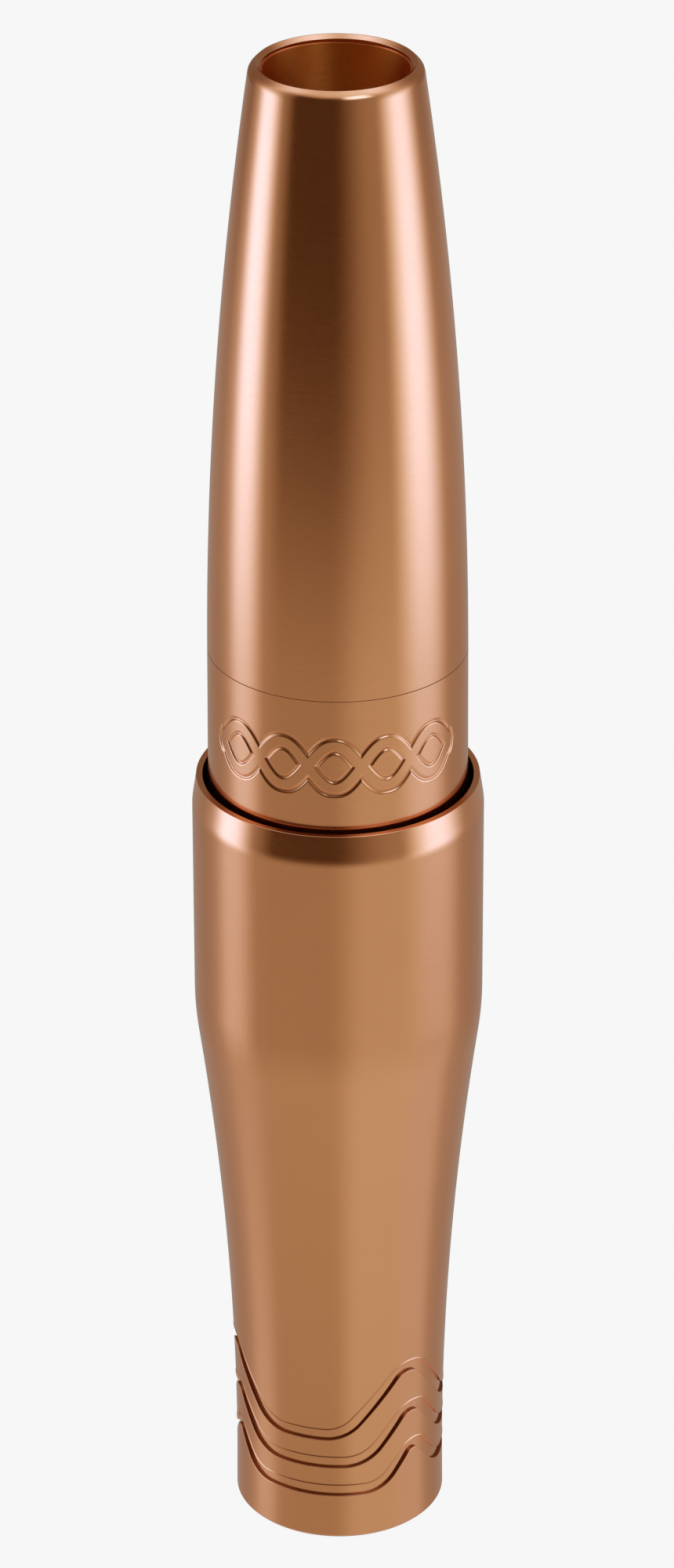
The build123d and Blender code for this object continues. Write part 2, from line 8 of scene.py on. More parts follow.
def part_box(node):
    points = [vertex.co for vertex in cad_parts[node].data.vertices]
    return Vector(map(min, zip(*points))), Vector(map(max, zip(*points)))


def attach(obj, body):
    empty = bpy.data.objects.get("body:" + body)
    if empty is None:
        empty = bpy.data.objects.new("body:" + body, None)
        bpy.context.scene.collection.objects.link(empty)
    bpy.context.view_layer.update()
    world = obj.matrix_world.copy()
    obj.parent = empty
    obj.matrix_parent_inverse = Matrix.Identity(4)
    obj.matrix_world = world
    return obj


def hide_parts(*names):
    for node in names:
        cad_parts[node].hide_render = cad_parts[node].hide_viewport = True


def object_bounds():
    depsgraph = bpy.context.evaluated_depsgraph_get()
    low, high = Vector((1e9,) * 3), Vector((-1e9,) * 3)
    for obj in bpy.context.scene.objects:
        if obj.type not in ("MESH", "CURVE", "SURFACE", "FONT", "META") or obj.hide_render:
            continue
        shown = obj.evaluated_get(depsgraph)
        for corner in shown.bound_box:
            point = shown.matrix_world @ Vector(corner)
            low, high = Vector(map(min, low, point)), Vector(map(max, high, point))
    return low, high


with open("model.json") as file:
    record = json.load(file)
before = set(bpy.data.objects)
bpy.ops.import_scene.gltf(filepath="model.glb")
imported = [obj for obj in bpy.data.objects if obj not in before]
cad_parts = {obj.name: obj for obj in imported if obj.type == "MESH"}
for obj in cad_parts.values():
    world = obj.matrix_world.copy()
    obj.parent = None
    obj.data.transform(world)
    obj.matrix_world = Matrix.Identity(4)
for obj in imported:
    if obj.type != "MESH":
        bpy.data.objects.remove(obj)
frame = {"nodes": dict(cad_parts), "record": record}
cad_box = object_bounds()

MM = 0.001                    # the lathe outlines below are in millimetres
DEG = math.pi / 180


# ---- Sizes, from the frame where the CAD has them ---------------------------------------------------
def radius_of(node):
    """Largest radius of a round CAD node, in millimetres."""
    low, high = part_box(node)
    return (high.x - low.x) / 2 / MM


def span_of(node):
    """Lowest and highest Z of a CAD node, in millimetres."""
    low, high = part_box(node)
    return low.z / MM, high.z / MM


COLLAR_R = radius_of("grip")
RIM_Z = span_of("grip")[1]
BAND_R = radius_of("front_body")
NOSE_Z, SEAM_Z = span_of("front_body")
SPIGOT_Z, LENGTH = span_of("rear_housing")
HOLDER_THREAD_R = radius_of("cartridge_holder")
NUT_R = radius_of("depth_nut")
NUT_Z = span_of("depth_nut")
SLIDER_BORE_R = radius_of("cam_slider") + 0.35
PLATE_R = radius_of("motor_plate")
PLATE_Z = span_of("motor_plate")[0]
CARRIER_R = radius_of("jack_carrier")
CARRIER_Z = span_of("jack_carrier")

WAIST_R, WAIST_Z = 8.13, 4.5
FACE_R, FACE_CHAMFER = 7.93, 0.24
FLANK_ARC, HIP_ARC = 270.0, 26.0
BEVEL_Z, BEVEL_SOFT, RIM_R, CUP_R = 61.4, 0.35, 10.667, 10.2
HOLDER_BORE_R = 5.75
GUIDE_Z, CUP_FLOOR_Z = 13.0, 49.4
NOSE_R, NOSE_BORE_R = 7.0, 5.2
SNAP_GROOVE_Z, SNAP_GROOVE_FLOOR_R = (43.0, 44.2), 6.2        # round the nose
SEAL_GROOVE_Z, SEAL_GROOVE_FLOOR_R = (45.6, 47.0), 5.8
GRIP_GROOVE_Z, GRIP_GROOVE_FLOOR_R = (42.9, 44.4), 7.5        # inside the grip, for the same snap ring
NOSE_PLAY = 0.05
NUT_SEAT_TOP = NUT_Z[1] + 2
STEP_Z, BAND_TAPER_Z, BAND_TOP_R = 49.7, 64.0, 9.723
WEB_Z, BUSH_R = (47.5, 51.0), 3.0
OGIVE_ARC, OGIVE_R, OGIVE_Z = 335.0, 9.73, 72.0
HOUSING_BORE_R, HOUSING_CONE_Z = 8.15, 96.0
MOUTH_R, MOUTH_STEP_R, MOUTH_STEP_Z = 5.32, 5.42, 119.68
SHOULDER_Z, SHOULDER_SOFT = 119.745, 0.30
CREST_R, LIP_Z = (5.77, 5.83), 119.93
SEAM_BREAK = (0.05, 0.06)     # edge break of the rear housing that makes the seam a hairline


# ---- Lathe: rings of points round the Z axis --------------------------------------------------------
SHADED_BORE_FINISH, PAINTED_SHADE_FINISH = 1, 2    # places of a shell's second and third material: the bore's darker copy of the anodising, which is painted shade, and the painted shade of the groove ledges and seam
SUPPORT = 0.4                 # a ring this share of a corner's rounding past it keeps the next face flat
SHARP_ANGLE = 50 * DEG


class Lathe:
    """Collects rings, each a radius and a height at every column, and skins them into a closed loop."""

    def __init__(self, angles):
        self.angles = angles
        self.rings = []
        self.painted_shade_bands = []       # numbers of the rings whose faces get the painted shade, a darker copy of the anodising

    def ring(self, radius, height):
        ones = np.ones_like(self.angles)
        self.rings.append((radius * ones, height * ones))

    def outline(self, points):
        """Straight stretches through (radius, height) points. A third value rounds that corner."""
        for k, (r, z, *soft) in enumerate(points):
            if not soft:
                self.ring(r, z)
                continue
            corner = np.array((r, z))
            before, after = (np.array(points[k + side][:2]) - corner for side in (-1, 1))
            start = corner + before / np.hypot(*before) * soft[0]
            end = corner + after / np.hypot(*after) * soft[0]
            self.ring(*(start + (start - corner) * SUPPORT))
            for t in (0, 1 / 3, 2 / 3, 1):
                self.ring(*((1 - t) ** 2 * start + 2 * t * (1 - t) * corner + t**2 * end))
            self.ring(*(end + (end - corner) * SUPPORT))

    def build(self, name):
        columns, rows = len(self.angles), len(self.rings)
        radius = np.array([ring[0] for ring in self.rings])
        height = np.array([ring[1] for ring in self.rings])
        points = np.stack(
            [radius * np.sin(self.angles), -radius * np.cos(self.angles), height], axis=-1
        )
        here = np.arange(rows * columns).reshape(rows, columns)
        above, right = np.roll(here, -1, axis=0), np.roll(here, -1, axis=1)
        corner = np.roll(above, -1, axis=1)
        quads = np.stack([here, right, corner, above], axis=-1).reshape(-1, 4)
        mesh = bpy.data.meshes.new(name)
        mesh.from_pydata((points.reshape(-1, 3) * MM).tolist(), [], quads.tolist())
        mesh.polygons.foreach_set("use_smooth", [True] * len(mesh.polygons))
        mesh.set_sharp_from_angle(angle=SHARP_ANGLE)
        # Faces inside the mouth's radius get the bore material, whose darker, redder colour is painted
        # shade; the listed bands get the painted shade material.
        narrow = (radius < MOUTH_R + 0.01).all(axis=1)
        finish = (narrow & np.roll(narrow, -1)).astype(np.int32) * SHADED_BORE_FINISH
        finish[self.painted_shade_bands] = PAINTED_SHADE_FINISH
        mesh.polygons.foreach_set("material_index", np.repeat(finish, columns))
        piece = bpy.data.objects.new(name, mesh)
        bpy.context.collection.objects.link(piece)
        return piece


def even_angles(count):
    return np.linspace(-math.pi, math.pi, count, endpoint=False)


# ---- Grip with its three wave grooves ---------------------------------------------------------------
WAVE_REPEATS = 3
WAVE_RADIUS = 8.15            # radius on which the waves are laid out
WAVE_SLOPE = 49 * DEG
GROOVE_HALF, GROOVE_DEPTH = 0.44, 0.22
WAVES = (                     # crest z, trough z, crest angle, crest arc, trough arc: lowest wave first
    (7.34, 4.39, 45.4 * DEG, 1.2, 3.1),
    (10.93, 6.99, 43.8 * DEG, 1.7, 3.7),
    (14.80, 9.55, 40.4 * DEG, 1.9, 3.3),
)
# Across a groove, from below: height above the edge's line, and share of the depth there. The lower
# edge is an undercut ledge that faces up; the upper edge drops straight from a low bead.
LOWER_EDGE = ((-0.10, 0.0), (-0.03, 0.0), (-0.012, 0.02), (-0.003, 0.05), (0.0, 0.10), (-0.035, 1.0),
              (0.06, 1.0))
LEDGE = 4                     # number of the point where the ledge starts
RINGS_BELOW = (5, 7, 7)       # plain rings below each wave
UPPER_EDGE = ((-0.10, 1.0), (-0.01, 1.0), (-0.006, 0.9), (0.0, 0.1), (0.02, -0.10), (0.05, -0.14),
              (0.12, -0.06), (0.17, 0.0), (0.22, 0.0))


def wave_height(wave, offset, angles):
    """Height of the line that runs at a fixed distance above the middle of a wave."""
    crest, trough, at, crest_arc, trough_arc = wave
    period = 2 * math.pi * WAVE_RADIUS / WAVE_REPEATS
    along = (angles - at) * WAVE_RADIUS
    along = np.abs((along + period / 2) % period - period / 2)
    sine, cosine, tangent = math.sin(WAVE_SLOPE), math.cos(WAVE_SLOPE), math.tan(WAVE_SLOPE)
    fall = crest - trough - (crest_arc + trough_arc) * (1 - cosine)
    flat_from = (crest_arc + trough_arc) * sine + fall / tangent
    top, bottom = crest_arc + offset, trough_arc - offset
    slope_from, slope_to = top * sine, flat_from - bottom * sine
    on_crest = crest - crest_arc + np.sqrt(np.maximum(top**2 - along**2, 0))
    on_slope = crest - crest_arc + top * cosine - tangent * (along - slope_from)
    in_trough = trough + trough_arc - np.sqrt(np.maximum(bottom**2 - (along - flat_from) ** 2, 0))
    return np.select(
        [along < slope_from, along < slope_to, along < flat_from],
        [on_crest, on_slope, in_trough],
        trough + offset,
    )


def grip_radius(z):
    """Outside radius of the grip from waist to collar: concave flank, convex hip, cylinder."""
    angle = math.acos(1 - (COLLAR_R - WAIST_R) / (FLANK_ARC + HIP_ARC))
    flank_top = WAIST_Z + FLANK_ARC * math.sin(angle)
    hip_top = WAIST_Z + (FLANK_ARC + HIP_ARC) * math.sin(angle)
    z = np.asarray(z, float)
    flank = WAIST_R + FLANK_ARC - np.sqrt(FLANK_ARC**2 - np.maximum(z - WAIST_Z, 0) ** 2)
    hip = COLLAR_R - HIP_ARC + np.sqrt(HIP_ARC**2 - np.clip(hip_top - z, 0, HIP_ARC) ** 2)
    foot = WAIST_R + (FACE_R + FACE_CHAMFER - WAIST_R) * (WAIST_Z - z) / (WAIST_Z - FACE_CHAMFER)
    return np.select([z < WAIST_Z, z < flank_top], [foot, flank], hip)


def make_grip():
    lathe = Lathe(even_angles(600))
    angles = lathe.angles
    nose_bore = NOSE_R + NOSE_PLAY
    lathe.outline([
        (HOLDER_THREAD_R + 0.1, GUIDE_Z), (HOLDER_BORE_R, GUIDE_Z), (HOLDER_BORE_R, 0.25),
        (HOLDER_BORE_R + 0.25, 0.0), (FACE_R, 0.0, 0.05), (FACE_R + FACE_CHAMFER, FACE_CHAMFER, 0.05),
        (float(grip_radius(1.0)), 1.0),
    ])
    for z in np.linspace(1.5, 2.4, 3):
        lathe.ring(grip_radius(z), z)
    lower = 2.4 * np.ones_like(angles)
    section = [(d - GROOVE_HALF, share) for d, share in LOWER_EDGE]
    section += [(0.0, 1.0)] + [(d + GROOVE_HALF, share) for d, share in UPPER_EDGE]
    for wave, parts in zip(WAVES, RINGS_BELOW):
        first = wave_height(wave, section[0][0], angles)
        for k in range(1, parts):
            z = lower + (first - lower) * k / parts
            lathe.rings.append((grip_radius(z), z))
        # The ledge of each groove gets the painted shade material: a darker colour standing in for the
        # shade in the groove.
        lathe.painted_shade_bands.append(len(lathe.rings) + LEDGE)
        for offset, share in section:
            z = wave_height(wave, offset, angles)
            lathe.rings.append((grip_radius(z) - GROOVE_DEPTH * share, z))
        lower = z
    for k in range(1, 9):
        z = lower + (18.0 - lower) * k / 8
        lathe.rings.append((grip_radius(z), z))
    for z in np.concatenate([np.linspace(19.5, 41.5, 12), np.linspace(42, 46, 9), np.linspace(48, 60, 4)]):
        lathe.ring(grip_radius(z), z)
    lathe.outline([
        (COLLAR_R, BEVEL_Z - 0.7), (COLLAR_R, BEVEL_Z, BEVEL_SOFT),
        (RIM_R, RIM_Z, 0.04), (CUP_R, RIM_Z, 0.04), (CUP_R, CUP_FLOOR_Z),
        (nose_bore, CUP_FLOOR_Z), (nose_bore, GRIP_GROOVE_Z[1]), (GRIP_GROOVE_FLOOR_R, GRIP_GROOVE_Z[1]),
        (GRIP_GROOVE_FLOOR_R, GRIP_GROOVE_Z[0]), (nose_bore, GRIP_GROOVE_Z[0]), (nose_bore, NUT_SEAT_TOP),
        (NUT_R, NUT_SEAT_TOP), (NUT_R, NUT_Z[0]), (HOLDER_THREAD_R + 0.1, NUT_Z[0]),
    ])
    return lathe.build("grip_shell")


# ---- Front body with the frieze on its band ---------------------------------------------------------
FRIEZE_MID_Z = 68.85
FRIEZE_FROM, FRIEZE_TO = -60 * DEG, 57 * DEG
FRIEZE_EYES = 5               # lens shapes between the crossings of the two strands
FRIEZE_SWING = 1.75
STRAND_HALF = 0.55
LINE_HALF, LINE_DEPTH = 0.18, 0.10


def frieze_depth(angles, z):
    """Depth of the engraved outline of two strands that cross like a twisted cord."""
    length = (FRIEZE_TO - FRIEZE_FROM) * BAND_R
    along = (angles - FRIEZE_FROM) * BAND_R
    phase = math.pi * FRIEZE_EYES / length
    inside = np.clip(along, 0, length)
    past = along - inside
    swing = FRIEZE_SWING * np.sin(phase * inside)
    steep = np.hypot(1, FRIEZE_SWING * phase * np.cos(phase * inside))
    rise = z - FRIEZE_MID_Z
    distance = np.minimum(
        np.hypot((rise - swing) / steep, past), np.hypot((rise + swing) / steep, past)
    )
    edge = np.abs(distance - STRAND_HALF) / LINE_HALF
    return LINE_DEPTH * np.where(edge < 1, (1 + np.cos(math.pi * np.minimum(edge, 1))) / 2, 0)


def groove(span, floor):
    """The four corners of a groove round the nose, from below."""
    return [(NOSE_R, span[0]), (floor, span[0]), (floor, span[1]), (NOSE_R, span[1])]


def make_front_body():
    fine = np.arange(FRIEZE_FROM - 4.5 * DEG, FRIEZE_TO + 4.5 * DEG, 0.25 * DEG)
    rest = np.linspace(fine[-1], fine[0] + 2 * math.pi, 110)[1:-1]
    lathe = Lathe(np.concatenate([fine, rest]))
    lathe.outline([
        (NOSE_R, STEP_Z), (BAND_R, STEP_Z), (BAND_R, BAND_TAPER_Z),
    ])
    slope = (BAND_R - BAND_TOP_R) / (SEAM_Z - BAND_TAPER_Z)

    def band(z):
        return BAND_R - slope * (z - BAND_TAPER_Z)

    low = FRIEZE_MID_Z - FRIEZE_SWING - STRAND_HALF - 2 * LINE_HALF
    high = 2 * FRIEZE_MID_Z - low
    for z in np.linspace(BAND_TAPER_Z + 0.5, low - 0.1, 3):
        lathe.ring(band(z), z)
    for z in np.linspace(low, high, 112):
        lathe.rings.append((band(z) - frieze_depth(lathe.angles, z), z + 0 * lathe.angles))
    for z in (high + 0.2, SEAM_Z - 0.6, SEAM_Z):
        lathe.ring(band(z), z)
    lathe.outline([
        (PLATE_R, SEAM_Z), (PLATE_R, PLATE_Z), (SLIDER_BORE_R, PLATE_Z),
        (SLIDER_BORE_R, WEB_Z[1]), (BUSH_R, WEB_Z[1]), (BUSH_R, WEB_Z[0]), (NOSE_BORE_R, WEB_Z[0]),
        (NOSE_BORE_R, NOSE_Z), (NOSE_R - 0.3, NOSE_Z), (NOSE_R, NOSE_Z + 0.3),
        *groove(SNAP_GROOVE_Z, SNAP_GROOVE_FLOOR_R), *groove(SEAL_GROOVE_Z, SEAL_GROOVE_FLOOR_R),
        (NOSE_R, STEP_Z - 0.5),
    ])
    return lathe.build("front_body_shell")


# ---- Rear housing -----------------------------------------------------------------------------------
def ogive(z):
    return OGIVE_R - OGIVE_ARC + math.sqrt(OGIVE_ARC**2 - (z - OGIVE_Z) ** 2)


def make_rear_housing():
    lathe = Lathe(even_angles(480))
    lathe.ring(PLATE_R, SEAM_Z)
    # The seam's edge break gets the painted shade material, which darkens it into a hairline.
    lathe.painted_shade_bands.append(len(lathe.rings))
    lathe.ring(ogive(SEAM_Z) - SEAM_BREAK[0], SEAM_Z)
    for z in (SEAM_BREAK[1], SEAM_BREAK[1] + 0.03, 0.15, 0.6):
        lathe.ring(ogive(SEAM_Z + z), SEAM_Z + z)
    for z in np.linspace(SEAM_Z + 2, SHOULDER_Z - 1.0, 46):
        lathe.ring(ogive(z), z)
    lathe.outline([
        (ogive(SHOULDER_Z - 0.6), SHOULDER_Z - 0.6), (ogive(SHOULDER_Z), SHOULDER_Z, SHOULDER_SOFT),
        (CREST_R[1], LENGTH, 0.02), (CREST_R[0], LENGTH, 0.02), (MOUTH_STEP_R, LIP_Z, 0.03),
        (MOUTH_STEP_R, MOUTH_STEP_Z), (MOUTH_R, MOUTH_STEP_Z, 0.02),
        (MOUTH_R, CARRIER_Z[1]), (CARRIER_R, CARRIER_Z[1]), (CARRIER_R, CARRIER_Z[0]),
        (HOUSING_BORE_R, HOUSING_CONE_Z), (HOUSING_BORE_R, SPIGOT_Z), (PLATE_R, SPIGOT_Z),
        (PLATE_R, SEAM_Z - 0.5),
    ])
    return lathe.build("rear_housing_shell")


# ---- Node graphs ------------------------------------------------------------------------------------
class Graph:
    """Short names for the few shader nodes that every material here is made of."""

    def __init__(self, tree):
        self.tree = tree
        tree.nodes.clear()

    def add(self, kind, **settings):
        node = self.tree.nodes.new(kind)
        for key, value in settings.items():
            setattr(node, key, value)
        return node

    def plug(self, socket, value):
        if isinstance(value, bpy.types.NodeSocket):
            self.tree.links.new(value, socket)
        else:
            socket.default_value = value

    def math(self, operation, *values, clamp=False):
        node = self.add("ShaderNodeMath", operation=operation, use_clamp=clamp)
        for socket, value in zip(node.inputs, values):
            self.plug(socket, value)
        return node.outputs[0]

    def smooth(self, value, low, high, to_low=0.0, to_high=1.0):
        """Smooth step from to_low to to_high as value goes from low to high."""
        node = self.add("ShaderNodeMapRange", interpolation_type="SMOOTHSTEP")
        for socket, given in zip(node.inputs, (value, low, high, to_low, to_high)):
            self.plug(socket, given)
        return node.outputs[0]

    def blend(self, factor, first, second):
        """Mix of two colours."""
        node = self.add("ShaderNodeMix", data_type="RGBA")
        self.plug(node.inputs["Factor"], factor)
        self.plug(node.inputs[6], first)
        self.plug(node.inputs[7], second)
        return node.outputs[2]

    def place(self):
        return self.add("ShaderNodeTexCoord").outputs["Object"]

    def noise(self, scale, detail=2.0, stretch=(1, 1, 1)):
        """Noise of about scale lumps per metre, stretched along each axis."""
        mapping = self.add("ShaderNodeMapping")
        mapping.inputs["Scale"].default_value = stretch
        self.plug(mapping.inputs["Vector"], self.place())
        node = self.add("ShaderNodeTexNoise")
        self.plug(node.inputs["Vector"], mapping.outputs[0])
        node.inputs["Scale"].default_value = scale
        node.inputs["Detail"].default_value = detail
        return node.outputs["Fac"]

    def bump(self, height, distance, strength=1.0, onto=None):
        node = self.add("ShaderNodeBump")
        node.inputs["Strength"].default_value = strength
        node.inputs["Distance"].default_value = distance
        self.plug(node.inputs["Height"], height)
        if onto is not None:
            self.plug(node.inputs["Normal"], onto)
        return node.outputs[0]


def total(graph, *terms):
    """Sum of plain values, sockets, and (socket, factor) pairs."""
    result = 0.0
    for term in terms:
        value = graph.math("MULTIPLY", *term) if isinstance(term, tuple) else term
        result = graph.math("ADD", result, value)
    return result


def surface(name, base, rough, normal=None, metal=0.0, **constants):
    """A Principled material. base, rough and normal are functions of its graph, or plain values."""
    material = bpy.data.materials.new(name)
    material.use_nodes = True
    graph = Graph(material.node_tree)
    shader = graph.add("ShaderNodeBsdfPrincipled")
    output = graph.add("ShaderNodeOutputMaterial")
    graph.tree.links.new(shader.outputs[0], output.inputs[0])
    shader.inputs["Metallic"].default_value = metal
    graph.plug(shader.inputs["Base Color"], base(graph))
    graph.plug(shader.inputs["Roughness"], rough(graph))
    if normal:
        graph.plug(shader.inputs["Normal"], normal(graph))
    if "Anisotropic" in constants:
        round_axis = graph.add("ShaderNodeTangent", direction_type="RADIAL", axis="Z")
        graph.plug(shader.inputs["Tangent"], round_axis.outputs[0])
    for key, value in constants.items():
        shader.inputs[key.replace("_", " ")].default_value = value
    return material


def tone(low, high, scale, detail=2.0, stretch=(1, 1, 1)):
    """A colour that wanders between low and high."""
    return lambda graph: graph.blend(graph.noise(scale, detail, stretch), (*low, 1), (*high, 1))


def level(low, high, scale, detail=2.0, stretch=(1, 1, 1)):
    """A roughness that wanders between low and high."""
    def make(graph):
        return graph.smooth(graph.noise(scale, detail, stretch), 0.25, 0.75, low, high)
    return make


def grain(scale, depth, stretch=(1, 1, 1), detail=2.0):
    """Fine surface relief of the given depth in metres."""
    return lambda graph: graph.bump(graph.noise(scale, detail, stretch), depth)


def anodised(name):
    """Satin rose-gold anodising: bead-blasted grain over faint turning marks that run round the axis."""
    def normal(graph):
        marks = graph.bump(graph.noise(900, 3.0, (1, 1, 14)), 0.0000007)
        return graph.bump(graph.noise(5200, 2.0), 0.0000012, onto=marks)

    return surface(
        name, tone((0.860, 0.388, 0.184), (0.890, 0.412, 0.199), 260, 4.0),
        level(0.14, 0.18, 1400, 4.0, (1, 1, 3)), normal, metal=1.0,
    )


def anodised_bore_with_painted_shade(name):
    """The same anodising on a bore left as it was cut, with a darker, redder colour painted in as the
    shade deep in the bore: ring marks smear its reflections along the axis.
    """
    return surface(
        name, tone((0.830, 0.242, 0.034), (0.860, 0.262, 0.042), 400, 3.0),
        level(0.35, 0.41, 900, 3.0, (1, 1, 8)), grain(2600, 0.000001, (1, 1, 6)), metal=1.0,
        Anisotropic=0.9, Anisotropic_Rotation=0.25,
    )


def turned_metal(name, low, high, rough, lines=1600):
    """Turned or ground metal with marks round the axis."""
    return surface(
        name, tone(low, high, 700, 3.0, (1, 1, 4)), level(rough, rough + 0.12, lines, 3.0, (1, 1, 8)),
        grain(lines, 0.000003, (1, 1, 12), 3.0), metal=1.0,
    )


def plated(name, low, high, rough):
    return surface(
        name, tone(low, high, 500, 2.0), level(rough, rough + 0.06, 900, 3.0), grain(2500, 0.000001),
        metal=1.0,
    )


def moulded(name, low, high, rough=0.45):
    """Moulded plastic or rubber with a fine spark-eroded grain."""
    return surface(
        name, tone(low, high, 900, 3.0), level(rough, rough + 0.15, 1500, 3.0), grain(4200, 0.000006),
    )


def winding(name):
    """Enamelled wire wound on the slant."""
    def wires(graph):
        mapping = graph.add("ShaderNodeMapping")
        mapping.inputs["Rotation"].default_value = (0.5, 0.0, 0.0)
        graph.plug(mapping.inputs["Vector"], graph.place())
        wave = graph.add("ShaderNodeTexWave", wave_type="BANDS", bands_direction="Z")
        graph.plug(wave.inputs["Vector"], mapping.outputs[0])
        wave.inputs["Scale"].default_value = 1500
        wave.inputs["Distortion"].default_value = 0.4
        return wave.outputs["Fac"]

    return surface(
        name,
        lambda graph: graph.blend(wires(graph), (0.25, 0.07, 0.025, 1), (0.75, 0.28, 0.11, 1)),
        level(0.28, 0.4, 2000), lambda graph: graph.bump(wires(graph), 0.00004), metal=0.9,
        Coat_Weight=0.4, Coat_Roughness=0.2,
    )


MATERIALS = {
    "anodised_alloy": anodised("anodised_alloy"),
    "steel": turned_metal("steel", (0.50, 0.50, 0.52), (0.62, 0.62, 0.63), 0.22),
    "nickel": plated("nickel", (0.66, 0.64, 0.60), (0.74, 0.72, 0.68), 0.14),
    "brass": turned_metal("brass", (0.70, 0.48, 0.18), (0.80, 0.57, 0.24), 0.20),
    "bronze": turned_metal("bronze", (0.42, 0.24, 0.10), (0.56, 0.34, 0.16), 0.38, 2600),
    "copper_wire": winding("copper_wire"),
    "magnet": plated("magnet", (0.26, 0.26, 0.28), (0.34, 0.34, 0.35), 0.34),
    "black_plastic": moulded("black_plastic", (0.018, 0.018, 0.020), (0.035, 0.034, 0.036)),
    "white_plastic": moulded("white_plastic", (0.70, 0.67, 0.58), (0.80, 0.78, 0.71), 0.35),
    "seal_rubber": moulded("seal_rubber", (0.010, 0.010, 0.010), (0.022, 0.022, 0.022), 0.6),
    "red_sleeve": moulded("red_sleeve", (0.38, 0.012, 0.012), (0.50, 0.022, 0.018), 0.3),
    "black_sleeve": moulded("black_sleeve", (0.012, 0.012, 0.012), (0.024, 0.024, 0.024), 0.3),
}
# The bore's material: its darker, redder colour is painted shade.
SHADED_BORE_MATERIAL = anodised_bore_with_painted_shade("anodised_bore_with_painted_shade")
# Painted shade for the groove ledges and the seam's edge break: a dark copy of the anodising.
PAINTED_SHADE_MATERIAL = turned_metal("anodised_painted_shade", (0.30, 0.115, 0.045), (0.38, 0.150, 0.060), 0.30)


def dress_cad_nodes(replaced):
    """Give every CAD node that stays in view the material of its record slot."""
    slots = {row["node"]: row["material_slot"] for row in frame["record"]["subparts"]}
    for name, node in frame["nodes"].items():
        if name in replaced:
            continue
        if not node.material_slots:
            node.data.materials.append(None)
        for slot in node.material_slots:
            slot.link = "OBJECT"
            slot.material = MATERIALS[slots[name]]


def add_shell(piece, body, node, slot):
    """Put a finished shell in place of its CAD node, with its outside finish, the bore material with its
    painted shade, and the painted shade material.
    """
    for material in (MATERIALS[slot], SHADED_BORE_MATERIAL, PAINTED_SHADE_MATERIAL):
        piece.data.materials.append(material)
    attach(piece, body)
    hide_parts(node)


add_shell(make_grip(), "grip", "grip", "anodised_alloy")
add_shell(make_front_body(), "handle", "front_body", "anodised_alloy")
add_shell(make_rear_housing(), "handle", "rear_housing", "anodised_alloy")
dress_cad_nodes({"grip", "front_body", "rear_housing"})


# ---- Stage: pale floor hidden from reflections, and a backdrop seen by the camera alone -------------
PALE = 0.93                   # glow of the backdrop
FLOOR_GLOW = 0.920            # a little less, as the room's light adds to it
STAGE_RADIUS = 3.0


def disc(name, radius, rings=12, columns=96, dome=False):
    """A round floor, or the dome over it when dome is set."""
    points, faces = [], []
    for i in range(rings + 1):
        t = i / rings
        for j in range(columns):
            turn = 2 * math.pi * j / columns
            flat, up = (math.cos(t * math.pi / 2), math.sin(t * math.pi / 2)) if dome else (t, 0.0)
            points.append((radius * flat * math.cos(turn), radius * flat * math.sin(turn), radius * up))
    for i in range(rings):
        for j in range(columns):
            k = (j + 1) % columns
            faces.append((i * columns + j, i * columns + k, (i + 1) * columns + k, (i + 1) * columns + j))
    mesh = bpy.data.meshes.new(name)
    mesh.from_pydata(points, [], faces)
    piece = bpy.data.objects.new(name, mesh)
    bpy.context.collection.objects.link(piece)
    return piece


def make_stage():
    floor = disc("floor", STAGE_RADIUS)
    floor.visible_glossy = False
    floor.data.materials.append(surface(
        "floor_paper", tone((0.010, 0.010, 0.010), (0.013, 0.013, 0.013), 40), level(0.9, 1.0, 60),
        Specular_IOR_Level=0.0, Emission_Color=(1, 1, 1, 1), Emission_Strength=FLOOR_GLOW,
    ))
    dome = disc("backdrop", STAGE_RADIUS, dome=True)
    for ray in ("diffuse", "glossy", "transmission", "shadow", "volume_scatter"):
        setattr(dome, "visible_" + ray, False)
    dome.data.materials.append(surface(
        "backdrop_paper", tone((0, 0, 0), (0.001, 0.001, 0.001), 2), level(0.9, 1.0, 2),
        Specular_IOR_Level=0.0, Emission_Color=(1, 1, 1, 1), Emission_Strength=PALE,
    ))


make_stage()


# ---- Studio light: a room of soft boxes, as brightness by direction ---------------------------------
NEUTRAL = 0.55                # brightness at which the light is white: warmer below it, cooler above
DIM_TINT = (0.78, 1.0, 1.22)  # powers of the brightness for red, green and blue, below neutral
BRIGHT_TINT = (0.66, 1.0, 1.5)    # and above it
FRONT_GOLD = 0.11             # share of the blue that the light from the front lacks


def beam(graph, angle, centre, half, soft):
    """1 within half of centre, in degrees round the horizon, and 0 outside, with soft edges."""
    away = graph.math("ABSOLUTE", graph.math("SUBTRACT", angle, centre))
    away = graph.math("MINIMUM", away, graph.math("SUBTRACT", 360.0, away))
    return graph.smooth(away, half - soft, half + soft, 1.0, 0.0)


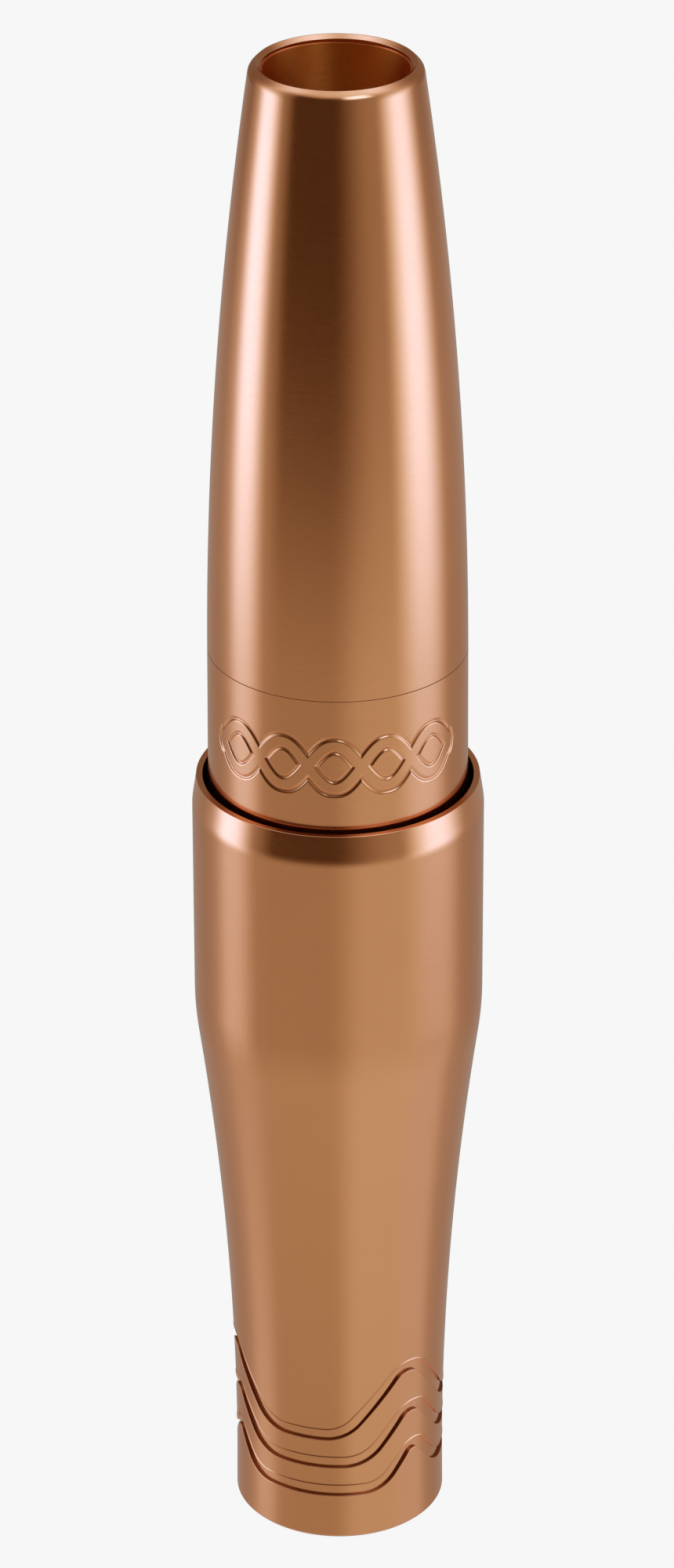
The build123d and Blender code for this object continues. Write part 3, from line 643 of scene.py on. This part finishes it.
def make_light():
    world = bpy.data.worlds.new("studio")
    bpy.context.scene.world = world
    world.use_nodes = True
    graph = Graph(world.node_tree)
    split = graph.add("ShaderNodeSeparateXYZ")
    graph.plug(split.inputs[0], graph.add("ShaderNodeTexCoord").outputs["Generated"])
    x, y, z = split.outputs
    azimuth = graph.math("MULTIPLY", graph.math("ARCTAN2", x, graph.math("MULTIPLY", y, -1.0)), 1 / DEG)
    elevation = graph.math("MULTIPLY", graph.math("ARCSINE", z), 1 / DEG)

    left_box = total(
        graph, beam(graph, azimuth, -91.5, 14.0, 11.0), (beam(graph, azimuth, -108.0, 14.0, 10.0), 0.12)
    )
    right_box = beam(graph, azimuth, 82.0, 18.5, 16.0)
    behind = beam(graph, azimuth, 180.0, 60.0, 12.0)
    key = beam(graph, azimuth, 32.0, 18.0, 9.0)

    # Table top: even, brighter to the right, with the boxes mirrored in its far edge.
    table = total(
        graph, 0.375,
        (graph.smooth(azimuth, -8.0, 22.0), 0.21),
        (graph.smooth(azimuth, 94.0, 116.0), -0.21),
        (behind, -0.06),
        (left_box, graph.smooth(elevation, -41.0, -28.0, 0.10, 0.35)),
        (right_box, graph.smooth(elevation, -30.0, -26.0, 0.0, 0.14)),
        graph.smooth(elevation, -26.0, -50.0, 0.0, 0.11),
    )
    # Room: dark at the front left, paler to both sides, under a bright ceiling.
    room = total(
        graph,
        graph.smooth(elevation, -22.0, -10.0, 0.15, 0.045),
        (graph.smooth(azimuth, -4.0, 42.0), 0.27),
        (graph.smooth(azimuth, -50.0, -68.0), 0.235),
        (behind, graph.smooth(elevation, -26.0, -10.0, 0.0, -0.12)),
        graph.smooth(elevation, 32.0, 70.0, 0.0, 0.80),
    )
    # Soft boxes on both sides at table height, and a key light high on the right.
    above = graph.smooth(elevation, -27.5, -16.0)
    box_height = (graph.smooth(elevation, -30.0, -15.0), graph.smooth(elevation, -15.0, 26.0, 1.0, 0.25))
    key_height = (graph.smooth(elevation, 28.0, 34.0), graph.smooth(elevation, 52.0, 58.0, 1.0, 0.0))
    boxes = total(graph, (left_box, 1.75), (right_box, 1.6))
    brightness = total(
        graph,
        (table, graph.math("SUBTRACT", 1.0, above)),
        (room, above),
        (boxes, graph.math("MULTIPLY", *box_height)),
        (graph.math("MULTIPLY", key, 1.7), graph.math("MULTIPLY", *key_height)),
    )

    share = graph.math("DIVIDE", brightness, NEUTRAL)
    dim, bright = graph.math("MINIMUM", share, 1.0), graph.math("MAXIMUM", share, 1.0)
    tint = graph.add("ShaderNodeCombineXYZ")
    golden = total(graph, 1.0, (beam(graph, azimuth, 0.0, 66.0, 14.0), -FRONT_GOLD))
    gains = (NEUTRAL, NEUTRAL, graph.math("MULTIPLY", golden, NEUTRAL))
    for socket, dim_power, bright_power, gain in zip(tint.inputs, DIM_TINT, BRIGHT_TINT, gains):
        product = graph.math(
            "MULTIPLY", graph.math("POWER", dim, dim_power), graph.math("POWER", bright, bright_power)
        )
        graph.plug(socket, graph.math("MULTIPLY", product, gain))
    background = graph.add("ShaderNodeBackground")
    graph.plug(background.inputs["Color"], tint.outputs[0])
    output = graph.add("ShaderNodeOutputWorld")
    graph.tree.links.new(background.outputs[0], output.inputs[0])


make_light()


# ---- Camera -----------------------------------------------------------------------------------------
CAMERA_LENS = 144.0
CAMERA_DISTANCE = 0.47207
CAMERA_ELEVATION = 27.2 * DEG
CAMERA_ROLL = -0.15 * DEG
AIM_SHARE = 0.52              # aim point's height as a share of the pen's length
AIM_X = -0.00008


def make_camera():
    low, high = cad_box
    aim = Vector((AIM_X, 0, low.z + (high.z - low.z) * AIM_SHARE))
    data = bpy.data.cameras.new("camera")
    data.lens = CAMERA_LENS
    data.clip_start, data.clip_end = 0.01, 20.0
    camera = bpy.data.objects.new("camera", data)
    bpy.context.collection.objects.link(camera)
    back = Vector((0, -math.cos(CAMERA_ELEVATION), math.sin(CAMERA_ELEVATION)))
    camera.location = aim + back * CAMERA_DISTANCE
    pitch = Matrix.Rotation(math.pi / 2 - CAMERA_ELEVATION, 3, "X")
    camera.rotation_euler = (pitch @ Matrix.Rotation(CAMERA_ROLL, 3, "Z")).to_euler()
    bpy.context.scene.camera = camera


make_camera()
bpy.context.scene.view_settings.view_transform = "Standard"
